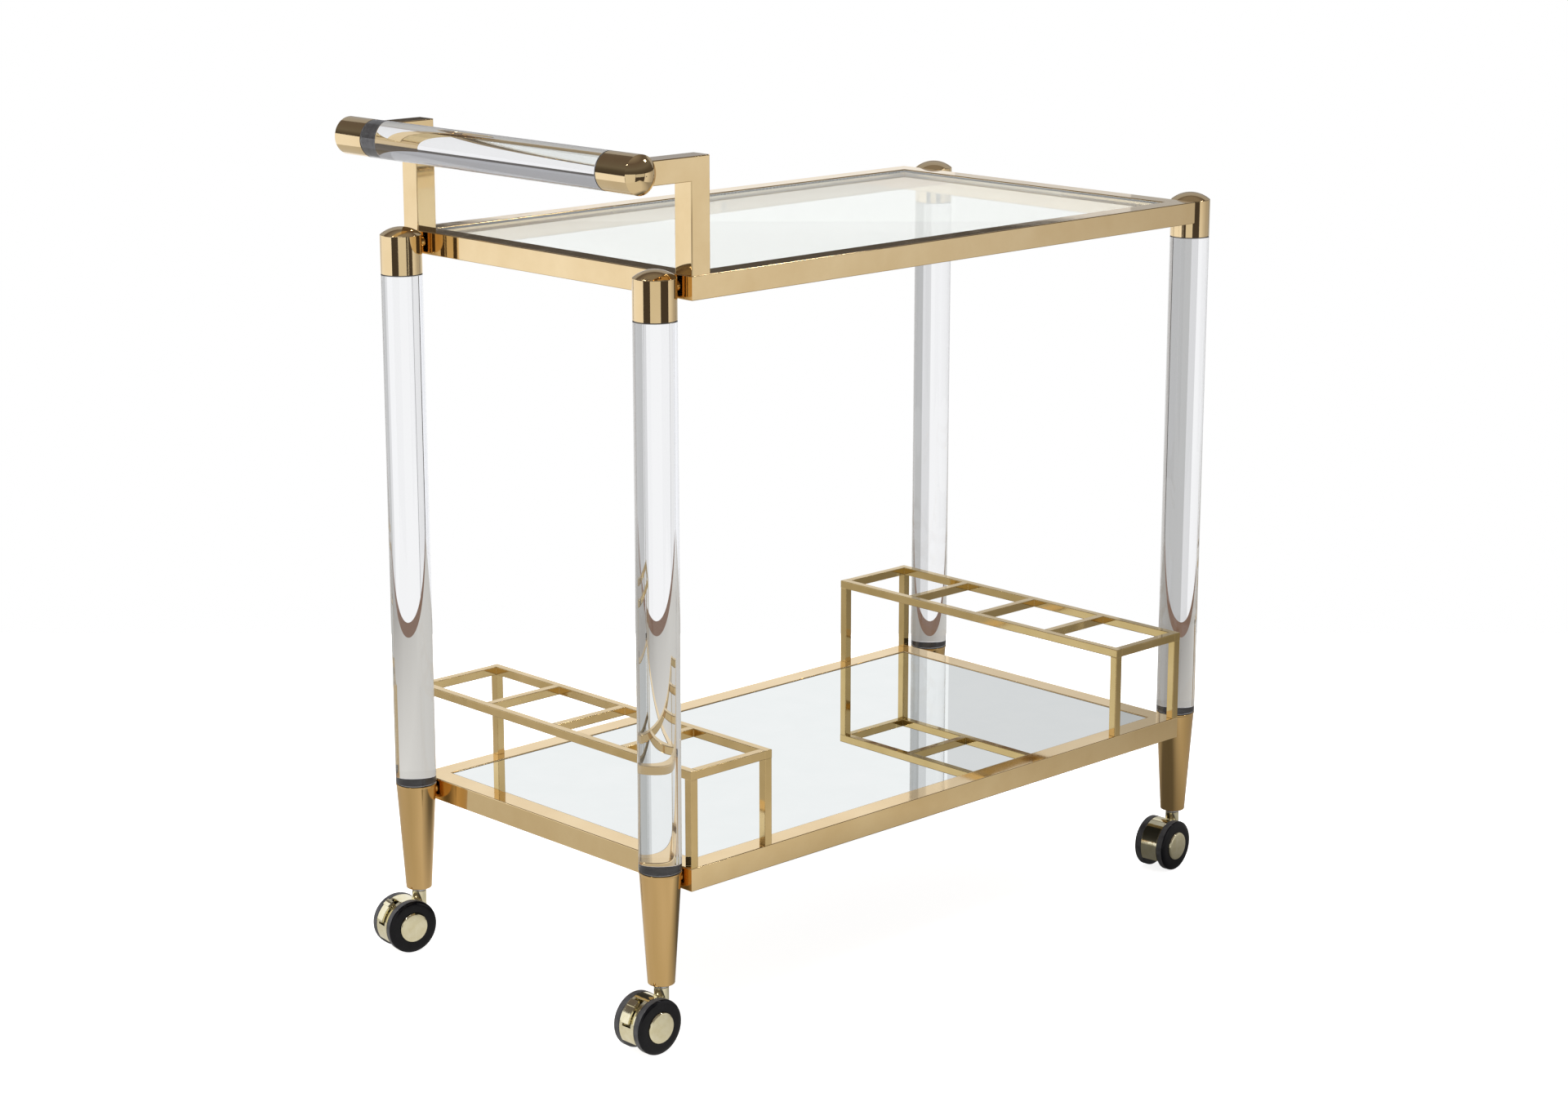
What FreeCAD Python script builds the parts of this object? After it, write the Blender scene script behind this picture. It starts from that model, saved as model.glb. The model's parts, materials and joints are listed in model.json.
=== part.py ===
"""Two-tier bar cart: clear rod posts, plated tube frames, glass top, mirror shelf, twin-wheel casters.

Millimetres.  +X is the way the cart is pushed, away from its handle, +Y is the left of the person who
pushes it, and +Z is up.  The shapes are drawn about the middle of the frames, and save() moves them so
that the origin is the bottom centre of the whole cart's bounding box, at floor level.
"""
import FreeCAD, Part
import math
import os

from FreeCAD import Vector

X_AXIS = Vector(1, 0, 0)
Y_AXIS = Vector(0, 1, 0)
Z_AXIS = Vector(0, 0, 1)

# How far a cutting shape runs past the surface it cuts, and how near two lengths count as equal
OVERCUT = 1.0
NEAR = 1e-3

# Posts, from the leg up to the domed cap
POST_SPACING_X = 698.9
POST_SPACING_Y = 345.2
POST_D = 38.1
LEG_BOTTOM_Z = 58.0
LEG_TOP_Z = 161.8
LEG_BOTTOM_D = 24.2
LEG_NECK_D = 37.2
LEG_RIM = 2.0
LEG_RIM_STEP = 0.8
LEG_TOP_ROUND = 0.5
CAP_BOTTOM_Z = 646.2
CAP_SHOULDER_Z = 681.5
DOME_RISE = 7.0
BOND_DISC = 1.0
BOND_DISC_INSET = 0.3
EDGE_ROUND = 0.8

# Frames of square tube
TUBE = 21.0
TUBE_WALL = 1.5
TUBE_CORNER = 0.9
UPPER_LENGTH = 656.4
UPPER_WIDTH = 390.8
UPPER_TOP_Z = 682.8
LOWER_LENGTH = 660.0
LOWER_WIDTH = 383.0
LOWER_TOP_Z = 162.5
SPACER_D = 10.0
STUD_D = 6.0
STUD_IN_POST = 12.0

# Shelves set into the frames
GLASS_THICKNESS = 6.0
MIRROR_THICKNESS = 5.0
BACKING_THICKNESS = 3.0
SHELF_SINK = 0.8
STRIP_WIDTH = 1.2
STRIP_DEPTH = 1.6
STRIP_SINK = 1.2
LEDGE_WIDTH = 8.0
LEDGE_THICKNESS = 2.0

# Push handle
HANDLE_D = 34.0
HANDLE_REACH = 384.6
HANDLE_ROD = 319.0
HANDLE_CAP = 36.7
HANDLE_DOME = 7.5
BRACKET_RISE = 99.5
SCREW_D = 5.0
ARM_SCREW = 16.0
ARM_BLOCK = 6.0
FOOT_BLOCK = 20.5
FOOT_SCREW = 18.5

# Bottle racks
RACK_BAR = 8.0
RACK_CORNER = 0.5
RACK_DEPTH = 96.6
RACK_TOP_Z = 251.0
RACK_DIVIDERS = 3
RACK_SCREW_D = 3.0
RACK_SCREW = 14.0

# Casters
WHEEL_D = 50.4
WHEEL_WIDTH = 8.1
WHEEL_SHOULDER = 1.8
WHEEL_BORE_CLEARANCE = 0.05
HUB_CAP_D = 28.6
HUB_CAP_PROUD = 2.0
HUB_CAP_DEPTH = 2.0
HUB_CAP_BEVEL = 1.4
HOOD_D = 50.0
HOOD_WIDTH = 18.4
HOOD_WALL = 2.4
HOOD_CHEEK = 2.6
HOOD_GAP = 0.35
HOOD_MOUTH_Z = 12.5
HOOD_NECK_FOOT_Z = 18.9
TRAIL = 16.5
NECK_D = 13.4
NECK_TOP_Z = 54.6
STEM_FOOT_GAP = 0.3
STEM_D = 8.0
STEM_BOTTOM_Z = 42.0
STEM_TOP_Z = 90.0
COLLAR_D = 12.8
SWIVEL_CLEARANCE = 0.05
AXLE_D = 6.0
AXLE_BOSS_D = 11.0
AXLE_END_GAP = 0.3

# Brake lever on the two casters at the handle end
LEVER_WIDTH = 9.6
LEVER_SLOT = 10.8
LEVER_THICKNESS = 1.8
LEVER_LIFT = 1.2
LEVER_LOW_ANGLE = 14.0
LEVER_HIGH_ANGLE = 60.0
LEVER_SLOT_LOW_ANGLE = 6.0
LEVER_SLOT_HIGH_ANGLE = 72.0
LEVER_PAD_ANGLE = 47.0
LEVER_PAD = 1.3
PIVOT_ANGLE = 58.0
PIVOT_RADIUS = 18.0
PIVOT_D = 3.0
PIVOT_BOSS_D = 6.0
LEVER_LAP = 0.2
LEVER_WEB_ANGLE = 52.0
LEVER_SLOT_CUT = 1.0
PIVOT_CLEARANCE = 0.05

# Derived places
WHEEL_R = WHEEL_D / 2
POST_R = POST_D / 2
HANDLE_Z = UPPER_TOP_Z + BRACKET_RISE - TUBE / 2
FRONT_EXTREME = POST_SPACING_X / 2 + POST_R
REAR_EXTREME = HANDLE_REACH + HANDLE_D / 2
ORIGIN_SHIFT = Vector((REAR_EXTREME - FRONT_EXTREME) / 2, 0, 0)

# Corner name, direction along X, direction along Y, caster's swivel in degrees, whether it has a brake
CORNERS = [
    ("front_left", 1, 1, 0.0, False),
    ("front_right", 1, -1, 5.5, False),
    ("rear_left", -1, 1, -8.5, True),
    ("rear_right", -1, -1, 0.0, True),
]


def post_centre(x_dir, y_dir):
    return Vector(x_dir * POST_SPACING_X / 2, y_dir * POST_SPACING_Y / 2, 0)


def box(low, high):
    """Block between two opposite corners."""
    size = [b - a for a, b in zip(low, high)]
    return Part.makeBox(size[0], size[1], size[2], Vector(*low))


def rod(start, direction, diameter, length):
    return Part.makeCylinder(diameter / 2, length, start, direction)


def lathe(profile):
    """Solid turned about Z from (radius, height) points."""
    points = [Vector(r, 0, z) for r, z in profile]
    wire = Part.makePolygon(points + [points[0]])
    return Part.Face(wire).revolve(Vector(0, 0, 0), Z_AXIS, 360)


def rounded(shape, radius, wanted):
    """Shape with the edges that wanted() picks rounded."""
    edges = [edge for edge in shape.Edges if not edge.Degenerated and wanted(edge)]
    return shape.makeFillet(radius, edges)


def circle_at(height, radius):
    """Test for a full circle of this radius at this height, for rounded()."""
    def wanted(edge):
        curve = edge.Curve
        if not isinstance(curve, Part.Circle):
            return False
        return abs(curve.Center.z - height) < NEAR and abs(curve.Radius - radius) < NEAR
    return wanted


def domed_plug(diameter, shoulder, rise):
    """Cylinder from z = 0 to its shoulder under a shallow dome, with a rounded crease between them."""
    r = diameter / 2
    sphere_r = (r * r + rise * rise) / (2 * rise)
    body = rod(Vector(0, 0, 0), Z_AXIS, diameter, shoulder + rise + OVERCUT)
    ball = Part.makeSphere(sphere_r, Vector(0, 0, shoulder + rise - sphere_r))
    tall_ball = ball.fuse(rod(Vector(0, 0, rise - sphere_r), Z_AXIS, 2 * sphere_r, shoulder))
    plug = body.common(tall_ball).removeSplitter()
    return rounded(plug, EDGE_ROUND, circle_at(shoulder, r))


def square_bar(length, side, corner):
    """Square bar along X from the origin, centred on the X axis, with rounded long edges."""
    bar = box((0, -side / 2, -side / 2), (length, side / 2, side / 2))
    along_x = [edge for edge in bar.Edges if abs(edge.tangentAt(0).x) > 0.9]
    return bar.makeFillet(corner, along_x)


def square_tube(length):
    inner = TUBE / 2 - TUBE_WALL
    hole = box((-OVERCUT, -inner, -inner), (length + OVERCUT, inner, inner))
    return square_bar(length, TUBE, TUBE_CORNER).cut(hole)


def mitre_wedge(length):
    """Prism that trims a tube along X to 45 degree mitres at both ends, longest on its -Y side."""
    half = TUBE / 2
    points = [Vector(0, -half, -half), Vector(length, -half, -half),
              Vector(length - TUBE, half, -half), Vector(TUBE, half, -half)]
    return Part.Face(Part.makePolygon(points + [points[0]])).extrude(Vector(0, 0, TUBE))


def frame_rail(length):
    """Mitred rail along X, centred at the origin, with its outer face at y = 0 and its body on +Y."""
    rail = square_tube(length).common(mitre_wedge(length))
    rail.translate(Vector(-length / 2, TUBE / 2, -TUBE / 2))
    return rail


def spun(shape, angle, centre=Vector(0, 0, 0), axis=Z_AXIS):
    turned = shape.copy()
    turned.rotate(centre, axis, angle)
    return turned


def moved(shape, offset):
    copy = shape.copy()
    copy.translate(offset)
    return copy


def frame_rails(length, width, top_z, stud_places):
    """The two long rails and the two end rails, with stud holes in the end rails."""
    long_rail = frame_rail(length)
    end_rail = frame_rail(width)
    right = moved(long_rail, Vector(0, -width / 2, top_z))
    left = moved(spun(long_rail, 180), Vector(0, width / 2, top_z))
    front = moved(spun(end_rail, 90), Vector(length / 2, 0, top_z))
    rear = moved(spun(end_rail, -90), Vector(-length / 2, 0, top_z))
    for start, direction, reach in stud_places:
        stud = rod(start, direction, STUD_D, reach)
        front = front.cut(stud)
        rear = rear.cut(stud)
    return [left, right], [front, rear]


def stud_run(length, top_z, x_dir, y_dir):
    """Start, direction and length of the stud that ties an end rail to a post's cap or leg."""
    start = Vector(x_dir * (length / 2 - TUBE_WALL), y_dir * POST_SPACING_Y / 2, top_z - TUBE / 2)
    reach = POST_SPACING_X / 2 - POST_R - length / 2 + TUBE_WALL + STUD_IN_POST
    return start, X_AXIS * x_dir, reach


def stud_runs(length, top_z):
    return [stud_run(length, top_z, x_dir, y_dir) for _, x_dir, y_dir, _, _ in CORNERS]


def post_cap():
    return moved(domed_plug(POST_D, CAP_SHOULDER_Z - CAP_BOTTOM_Z, DOME_RISE), Vector(0, 0, CAP_BOTTOM_Z))


def leg():
    """Tapered foot of a post, with a narrow straight rim at its top and a socket for the caster's stem."""
    neck_z = LEG_TOP_Z - LEG_RIM
    profile = [(0, LEG_BOTTOM_Z), (LEG_BOTTOM_D / 2, LEG_BOTTOM_Z), (LEG_NECK_D / 2, neck_z),
               (POST_R, neck_z + LEG_RIM_STEP), (POST_R, LEG_TOP_Z), (0, LEG_TOP_Z)]
    body = lathe(profile)
    body = rounded(body, LEG_TOP_ROUND, circle_at(LEG_TOP_Z, POST_R))
    body = rounded(body, EDGE_ROUND, circle_at(LEG_BOTTOM_Z, LEG_BOTTOM_D / 2))
    foot = Vector(0, 0, LEG_BOTTOM_Z - OVERCUT)
    return body.cut(rod(foot, Z_AXIS, STEM_D, STEM_TOP_Z - LEG_BOTTOM_Z + OVERCUT))


def bond_disc(start, direction, diameter):
    return rod(start, direction, diameter - 2 * BOND_DISC_INSET, BOND_DISC)


def spacer(length, top_z, x_dir, y_dir, post_piece):
    """Short round boss between an end rail and the post, shaped to the post's own surface."""
    start = Vector(x_dir * length / 2, y_dir * POST_SPACING_Y / 2, top_z - TUBE / 2)
    reach = POST_SPACING_X / 2 - length / 2
    boss = rod(start, X_AXIS * x_dir, SPACER_D, reach)
    boss = boss.cut(post_piece)
    run = stud_run(length, top_z, x_dir, y_dir)
    boss = boss.cut(rod(run[0], run[1], STUD_D, run[2]))
    return nearest_solid(boss, start)


def nearest_solid(shape, point):
    """The solid of a shape that lies nearest to a point."""
    return min(shape.Solids, key=lambda solid: solid.distToShape(Part.Vertex(point))[0])


def make_posts():
    """Rod, cap and leg at each corner, the bonding discs, spacers and studs."""
    nodes = {}
    discs = []
    spacers = []
    studs = []
    for name, x_dir, y_dir, _, _ in CORNERS:
        centre = post_centre(x_dir, y_dir)
        rod_bottom = LEG_TOP_Z + BOND_DISC
        rod_length = CAP_BOTTOM_Z - BOND_DISC - rod_bottom
        nodes["post_rod_" + name] = rod(centre + Z_AXIS * rod_bottom, Z_AXIS, POST_D, rod_length)
        discs.append(bond_disc(centre + Z_AXIS * LEG_TOP_Z, Z_AXIS, POST_D))
        discs.append(bond_disc(centre + Z_AXIS * CAP_BOTTOM_Z, -Z_AXIS, POST_D))
        cap = moved(post_cap(), centre)
        foot = moved(leg(), centre)
        upper = stud_run(UPPER_LENGTH, UPPER_TOP_Z, x_dir, y_dir)
        lower = stud_run(LOWER_LENGTH, LOWER_TOP_Z, x_dir, y_dir)
        spacers.append(spacer(UPPER_LENGTH, UPPER_TOP_Z, x_dir, y_dir, cap))
        spacers.append(spacer(LOWER_LENGTH, LOWER_TOP_Z, x_dir, y_dir, foot))
        upper_stud = rod(upper[0], upper[1], STUD_D, upper[2])
        lower_stud = rod(lower[0], lower[1], STUD_D, lower[2])
        studs += [upper_stud, lower_stud]
        nodes["post_cap_" + name] = cap.cut(upper_stud)
        nodes["leg_" + name] = foot.cut(lower_stud)
    nodes["frame_spacers"] = spacers
    nodes["frame_studs"] = studs
    return nodes, discs


def inset_panel(length, width, inset, top_z, thickness):
    """Flat panel inside a frame, inset from the rails' inner faces."""
    half_x = length / 2 - TUBE - inset
    half_y = width / 2 - TUBE - inset
    return box((-half_x, -half_y, top_z - thickness), (half_x, half_y, top_z))


def inset_border(length, width, border, top_z, thickness):
    """Four strips along the rails' inner faces, butted at the corners."""
    half_x = length / 2 - TUBE
    half_y = width / 2 - TUBE
    low = top_z - thickness
    strips = []
    for side in (-1, 1):
        y_edges = sorted((side * half_y, side * (half_y - border)))
        x_edges = sorted((side * half_x, side * (half_x - border)))
        strips.append(box((-half_x, y_edges[0], low), (half_x, y_edges[1], top_z)))
        strips.append(box((x_edges[0], -half_y + border, low), (x_edges[1], half_y - border, top_z)))
    return strips


def make_frames():
    nodes = {}
    upper = frame_rails(UPPER_LENGTH, UPPER_WIDTH, UPPER_TOP_Z, stud_runs(UPPER_LENGTH, UPPER_TOP_Z))
    lower = frame_rails(LOWER_LENGTH, LOWER_WIDTH, LOWER_TOP_Z, stud_runs(LOWER_LENGTH, LOWER_TOP_Z))
    nodes["upper_long_rails"] = drilled(upper[0], bracket_screws())
    nodes["upper_end_rails"] = drilled(upper[1], bracket_screws())
    nodes["lower_long_rails"] = drilled(lower[0], rack_screws())
    nodes["lower_end_rails"] = drilled(lower[1], rack_screws())
    return nodes


def drilled(solids, tools):
    """Solids with every tool cut away."""
    return [solid.cut(tools) for solid in solids]


def make_shelves():
    nodes = {}
    glass_top_z = UPPER_TOP_Z - SHELF_SINK
    glass_low_z = glass_top_z - GLASS_THICKNESS
    mirror_top_z = LOWER_TOP_Z - SHELF_SINK
    mirror_low_z = mirror_top_z - MIRROR_THICKNESS
    backing_low_z = mirror_low_z - BACKING_THICKNESS
    nodes["glass_top"] = inset_panel(
        UPPER_LENGTH, UPPER_WIDTH, STRIP_WIDTH, glass_top_z, GLASS_THICKNESS)
    nodes["mirror_shelf"] = inset_panel(
        LOWER_LENGTH, LOWER_WIDTH, STRIP_WIDTH, mirror_top_z, MIRROR_THICKNESS)
    nodes["mirror_backing_board"] = inset_panel(
        LOWER_LENGTH, LOWER_WIDTH, STRIP_WIDTH, mirror_low_z, BACKING_THICKNESS)
    nodes["glazing_strips"] = (
        inset_border(UPPER_LENGTH, UPPER_WIDTH, STRIP_WIDTH, UPPER_TOP_Z - STRIP_SINK, STRIP_DEPTH)
        + inset_border(LOWER_LENGTH, LOWER_WIDTH, STRIP_WIDTH, LOWER_TOP_Z - STRIP_SINK, STRIP_DEPTH))
    nodes["shelf_ledges"] = (
        inset_border(UPPER_LENGTH, UPPER_WIDTH, LEDGE_WIDTH, glass_low_z, LEDGE_THICKNESS)
        + inset_border(LOWER_LENGTH, LOWER_WIDTH, LEDGE_WIDTH, backing_low_z, LEDGE_THICKNESS))
    return nodes


def handle_cap(y_dir):
    """Domed end cap of the handle, lying along Y with its dome outwards."""
    plug = domed_plug(HANDLE_D, HANDLE_CAP, HANDLE_DOME)
    plug = spun(plug, -90 * y_dir, axis=X_AXIS)
    return moved(plug, Vector(-HANDLE_REACH, y_dir * HANDLE_ROD / 2, HANDLE_Z))


def bracket_outline(tip_x):
    """Side view of an L bracket at the rear of the cart, split into its arm and its upright at the mitre."""
    outer_x = -UPPER_LENGTH / 2
    inner_x = outer_x + TUBE
    top = UPPER_TOP_Z + BRACKET_RISE
    arm = [(tip_x, top), (inner_x, top), (outer_x, top - TUBE), (tip_x, top - TUBE)]
    upright = [(inner_x, UPPER_TOP_Z), (inner_x, top), (outer_x, top - TUBE), (outer_x, UPPER_TOP_Z)]
    return arm, upright


def side_prism(outline):
    """Prism with this X-Z outline, right across the cart."""
    points = [Vector(x, -UPPER_WIDTH, z) for x, z in outline]
    return Part.Face(Part.makePolygon(points + [points[0]])).extrude(Vector(0, 2 * UPPER_WIDTH, 0))


def bracket(y_dir, cap):
    """Upright and arm of one handle bracket, the arm shaped to the handle cap it meets."""
    y = y_dir * (UPPER_WIDTH - TUBE) / 2
    tip_x = -HANDLE_REACH
    arm_outline, upright_outline = bracket_outline(tip_x)
    arm_bar = moved(square_tube(-UPPER_LENGTH / 2 + TUBE - tip_x), Vector(tip_x, y, HANDLE_Z))
    upright_bar = spun(square_tube(BRACKET_RISE), -90, axis=Y_AXIS)
    upright_bar = moved(upright_bar, Vector(-UPPER_LENGTH / 2 + TUBE / 2, y, UPPER_TOP_Z))
    arm = arm_bar.common(side_prism(arm_outline)).cut(cap)
    arm = nearest_solid(arm, Vector(-UPPER_LENGTH / 2, y, HANDLE_Z))
    upright = upright_bar.common(side_prism(upright_outline))
    return [arm, upright]


def arm_plug(y_dir, cap):
    """Block inside the arm's end that the arm screw threads through."""
    inner = TUBE / 2 - TUBE_WALL
    y = y_dir * (UPPER_WIDTH - TUBE) / 2
    block = box((-HANDLE_REACH, y - inner, HANDLE_Z - inner),
                (-HANDLE_REACH + HANDLE_D / 2 + ARM_BLOCK, y + inner, HANDLE_Z + inner))
    return block.cut(cap)


def foot_plug(y_dir):
    """Block inside the upright's foot that the foot screw threads into."""
    inner = TUBE / 2 - TUBE_WALL
    x = -UPPER_LENGTH / 2 + TUBE / 2
    y = y_dir * (UPPER_WIDTH - TUBE) / 2
    return box((x - inner, y - inner, UPPER_TOP_Z),
               (x + inner, y + inner, UPPER_TOP_Z + FOOT_BLOCK))


def arm_screws():
    """Screws from the arms' end blocks into the handle caps."""
    screws = []
    for y_dir in (-1, 1):
        start = Vector(-HANDLE_REACH + HANDLE_D / 2 + ARM_BLOCK, y_dir * (UPPER_WIDTH - TUBE) / 2, HANDLE_Z)
        screws.append(rod(start, -X_AXIS, SCREW_D, ARM_SCREW))
    return screws


def bracket_screws():
    """Screws up through the upper long rails into the feet of the brackets."""
    screws = []
    for y_dir in (-1, 1):
        x = -UPPER_LENGTH / 2 + TUBE / 2
        start = Vector(x, y_dir * (UPPER_WIDTH - TUBE) / 2, UPPER_TOP_Z - TUBE_WALL)
        screws.append(rod(start, Z_AXIS, SCREW_D, FOOT_SCREW))
    return screws


def make_handle():
    nodes = {}
    start = Vector(-HANDLE_REACH, -HANDLE_ROD / 2 + BOND_DISC, HANDLE_Z)
    nodes["handle_rod"] = rod(start, Y_AXIS, HANDLE_D, HANDLE_ROD - 2 * BOND_DISC)
    screws = arm_screws()
    feet = bracket_screws()
    discs = []
    for side, y_dir in (("left", 1), ("right", -1)):
        cap = handle_cap(y_dir)
        nodes["handle_cap_" + side] = cap.cut(screws)
        plugs = [arm_plug(y_dir, cap).cut(screws), foot_plug(y_dir).cut(feet)]
        nodes["handle_bracket_" + side] = bracket(y_dir, cap) + plugs
        disc_start = Vector(-HANDLE_REACH, y_dir * HANDLE_ROD / 2, HANDLE_Z)
        discs.append(bond_disc(disc_start, Y_AXIS * -y_dir, HANDLE_D))
    nodes["handle_screws"] = screws + feet
    return nodes, discs


def rack_leg_places():
    """Plan centres of the eight rack legs: sign along X, x and y."""
    y = LOWER_WIDTH / 2 - RACK_BAR / 2
    outer_x = LOWER_LENGTH / 2 - RACK_BAR / 2
    inner_x = LOWER_LENGTH / 2 - RACK_DEPTH + RACK_BAR / 2
    return [(x_dir, x_dir * x, y_dir * y)
            for x_dir in (-1, 1) for x in (inner_x, outer_x) for y_dir in (-1, 1)]


def rack_screws():
    """Screws up through the lower long rails' top walls into the rack legs."""
    return [rod(Vector(x, y, LOWER_TOP_Z - TUBE_WALL), Z_AXIS, RACK_SCREW_D, RACK_SCREW)
            for _, x, y in rack_leg_places()]


def rack(x_dir):
    """Bottle rack across the shelf: two long top bars, two end bars, dividers and four legs."""
    bars = []
    bar_z = RACK_TOP_Z - RACK_BAR / 2
    outer_x = LOWER_LENGTH / 2 - RACK_BAR / 2
    inner_x = LOWER_LENGTH / 2 - RACK_DEPTH + RACK_BAR / 2
    for x in (inner_x, outer_x):
        bar = spun(square_bar(LOWER_WIDTH, RACK_BAR, RACK_CORNER), 90)
        bars.append(moved(bar, Vector(x_dir * x, -LOWER_WIDTH / 2, bar_z)))
    cross_length = outer_x - inner_x - RACK_BAR
    cross = moved(square_bar(cross_length, RACK_BAR, RACK_CORNER), Vector(-cross_length / 2, 0, bar_z))
    middle_x = x_dir * (inner_x + outer_x) / 2
    pitch = (LOWER_WIDTH - RACK_BAR) / (RACK_DIVIDERS + 1)
    for index in range(RACK_DIVIDERS + 2):
        y = -LOWER_WIDTH / 2 + RACK_BAR / 2 + index * pitch
        bars.append(moved(cross, Vector(middle_x, y, 0)))
    upright = spun(square_bar(RACK_TOP_Z - RACK_BAR - LOWER_TOP_Z, RACK_BAR, RACK_CORNER), -90, axis=Y_AXIS)
    screws = rack_screws()
    for place_dir, x, y in rack_leg_places():
        if place_dir == x_dir:
            bars.append(moved(upright, Vector(x, y, LOWER_TOP_Z)).cut(screws))
    return bars


def make_racks():
    return {"bottle_rack_front": rack(1), "bottle_rack_rear": rack(-1), "rack_screws": rack_screws()}


def wheel():
    """One wheel about Y, from y = 0 outwards to -Y, with rounded shoulders, an axle bore and a cap recess."""
    disc = rod(Vector(0, 0, 0), -Y_AXIS, WHEEL_D, WHEEL_WIDTH)
    rims = [edge for edge in disc.Edges if isinstance(edge.Curve, Part.Circle)]
    disc = disc.makeFillet(WHEEL_SHOULDER, rims)
    bore_d = AXLE_D + 2 * WHEEL_BORE_CLEARANCE
    bore = rod(Vector(0, OVERCUT, 0), -Y_AXIS, bore_d, WHEEL_WIDTH + 2 * OVERCUT)
    recess = rod(Vector(0, -WHEEL_WIDTH, 0), Y_AXIS, HUB_CAP_D, HUB_CAP_DEPTH)
    return disc.cut(bore).cut(recess)


def hub_cap():
    """Pressed cap over the axle end, sitting in the wheel's recess and standing proud of its face."""
    height = HUB_CAP_DEPTH + HUB_CAP_PROUD
    cap = rod(Vector(0, -WHEEL_WIDTH + HUB_CAP_DEPTH, 0), -Y_AXIS, HUB_CAP_D, height)
    face_y = -WHEEL_WIDTH - HUB_CAP_PROUD
    circles = [edge for edge in cap.Edges if isinstance(edge.Curve, Part.Circle)]
    rim = [edge for edge in circles if abs(edge.Curve.Center.y - face_y) < NEAR]
    return cap.makeFillet(HUB_CAP_BEVEL, rim)


def sector(inner_r, outer_r, low_angle, high_angle, width):
    """Ring sector about Y, centred on y = 0, between two angles measured up from -X."""
    ring = rod(Vector(0, -width / 2, 0), Y_AXIS, 2 * outer_r, width)
    ring = ring.cut(rod(Vector(0, -width, 0), Y_AXIS, 2 * inner_r, 2 * width))
    far = 3 * outer_r
    middle = (low_angle + high_angle) / 2
    points = [Vector(0, -width, 0)]
    points += [Vector(-far * math.cos(math.radians(angle)), -width, far * math.sin(math.radians(angle)))
               for angle in (low_angle, middle, high_angle)]
    wedge = Part.Face(Part.makePolygon(points + [points[0]])).extrude(Vector(0, 2 * width, 0))
    return ring.common(wedge)


def on_arc(radius, angle):
    return Vector(-radius * math.cos(math.radians(angle)), 0, radius * math.sin(math.radians(angle)))


def hood(has_brake):
    """Housing between the wheels, about the axle: arched shell, two cheeks, axle boss and swivel neck."""
    outer_r = HOOD_D / 2
    half = HOOD_WIDTH / 2
    drum = rod(Vector(0, -half, 0), Y_AXIS, HOOD_D, HOOD_WIDTH)
    cheek = Vector(0, -half + HOOD_CHEEK, 0)
    hollow = rod(cheek, Y_AXIS, HOOD_D - 2 * HOOD_WALL, HOOD_WIDTH - 2 * HOOD_CHEEK)
    boss = rod(Vector(0, -half, 0), Y_AXIS, AXLE_BOSS_D, HOOD_WIDTH)
    mouth_z = HOOD_MOUTH_Z - WHEEL_R
    mouth = box((-WHEEL_D, -WHEEL_D, -WHEEL_D), (WHEEL_D, WHEEL_D, mouth_z))
    body = drum.cut(hollow).cut(mouth).fuse(boss)
    neck_low = HOOD_NECK_FOOT_Z - WHEEL_R
    neck = rod(Vector(TRAIL, 0, neck_low), Z_AXIS, NECK_D, NECK_TOP_Z - WHEEL_R - neck_low)
    neck = neck.common(box((0, -half, mouth_z), (outer_r + NECK_D, half, WHEEL_D)))
    body = body.fuse(neck)
    socket_low = STEM_BOTTOM_Z - WHEEL_R - STEM_FOOT_GAP
    body = body.cut(rod(Vector(TRAIL, 0, socket_low), Z_AXIS, STEM_D + 2 * SWIVEL_CLEARANCE, WHEEL_D))
    body = body.cut(rod(Vector(0, -half, 0), Y_AXIS, AXLE_D, HOOD_WIDTH))
    if has_brake:
        inner_r = outer_r - HOOD_WALL - LEVER_SLOT_CUT
        slot_r = outer_r + LEVER_SLOT_CUT
        body = body.cut(sector(inner_r, slot_r, LEVER_SLOT_LOW_ANGLE, LEVER_SLOT_HIGH_ANGLE, LEVER_SLOT))
        pin = on_arc(PIVOT_RADIUS, PIVOT_ANGLE) - Y_AXIS * HOOD_WIDTH / 2
        body = body.cut(rod(pin, Y_AXIS, PIVOT_D + 2 * PIVOT_CLEARANCE, HOOD_WIDTH))
    return body.removeSplitter()


def brake_lever():
    """Curved lever that lies over the slot in the hood, with a raised pad, a web and its pivot pin."""
    low_r = HOOD_D / 2 + LEVER_LIFT
    high_r = low_r + LEVER_THICKNESS
    plate = sector(low_r, high_r, LEVER_LOW_ANGLE, LEVER_HIGH_ANGLE, LEVER_WIDTH)
    pad = sector(high_r - LEVER_LAP, high_r + LEVER_PAD, LEVER_PAD_ANGLE, LEVER_HIGH_ANGLE, LEVER_WIDTH)
    pivot = on_arc(PIVOT_RADIUS, PIVOT_ANGLE)
    hub = rod(pivot - Y_AXIS * LEVER_WIDTH / 2, Y_AXIS, PIVOT_BOSS_D, LEVER_WIDTH)
    web = sector(PIVOT_RADIUS, low_r + LEVER_LAP, LEVER_WEB_ANGLE, LEVER_HIGH_ANGLE, LEVER_WIDTH)
    pin = rod(pivot - Y_AXIS * HOOD_WIDTH / 2, Y_AXIS, PIVOT_D, HOOD_WIDTH)
    return plate.fuse([pad, hub, web, pin]).removeSplitter()


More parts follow.
